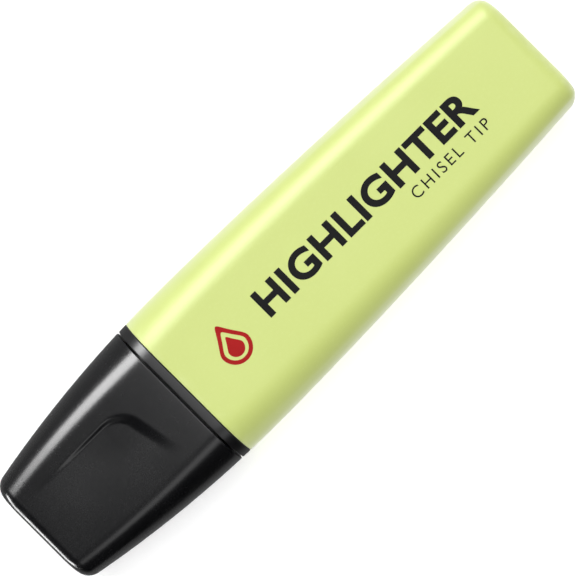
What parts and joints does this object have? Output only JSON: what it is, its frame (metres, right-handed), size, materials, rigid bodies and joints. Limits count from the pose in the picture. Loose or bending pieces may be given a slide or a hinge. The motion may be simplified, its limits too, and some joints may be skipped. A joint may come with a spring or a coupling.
{
  "type": "highlighter",
  "caption": "Flat-bodied highlighter with a chisel tip, a tapered casing and a wedge-shaped press-on cap with a thumb recess on each face.",
  "frame": {"origin": "middle of the length and width, on the surface that the pen lies on", "axes": "+X from the cap end to the closed rear end, +Y across the broad face, +Z through the thickness, away from the surface it lies on"},
  "size_m": [0.105, 0.0272, 0.017],
  "materials": {
    "lime_plastic": "satin moulded polypropylene, pastel lime",
    "black_plastic": "satin moulded plastic, black",
    "black_cap_plastic": "semi-gloss moulded plastic, black",
    "nib_fibre": "bonded polyester fibre soaked with ink",
    "reservoir_fibre": "pressed polyester fibre soaked with ink",
    "clear_film": "thin clear film",
    "black_print": "printed ink on the barrel, black",
    "red_print": "printed ink on the barrel, red",
    "natural_plastic": "natural uncoloured polyethylene"
  },
  "bodies": {
    "pen": {"barrel": "lime_plastic", "front_section": "black_plastic", "nib": "nib_fibre", "reservoir_core": "reservoir_fibre", "reservoir_sleeve": "clear_film"},
    "cap": {"cap_shell": "black_cap_plastic", "cap_seal": "natural_plastic"}
  },
  "joints": [
    {"name": "cap_slide", "type": "slide", "parent": "pen", "child": "cap", "axis": [-1, 0, 0], "range_m": [0, 0.045]}
  ]
}
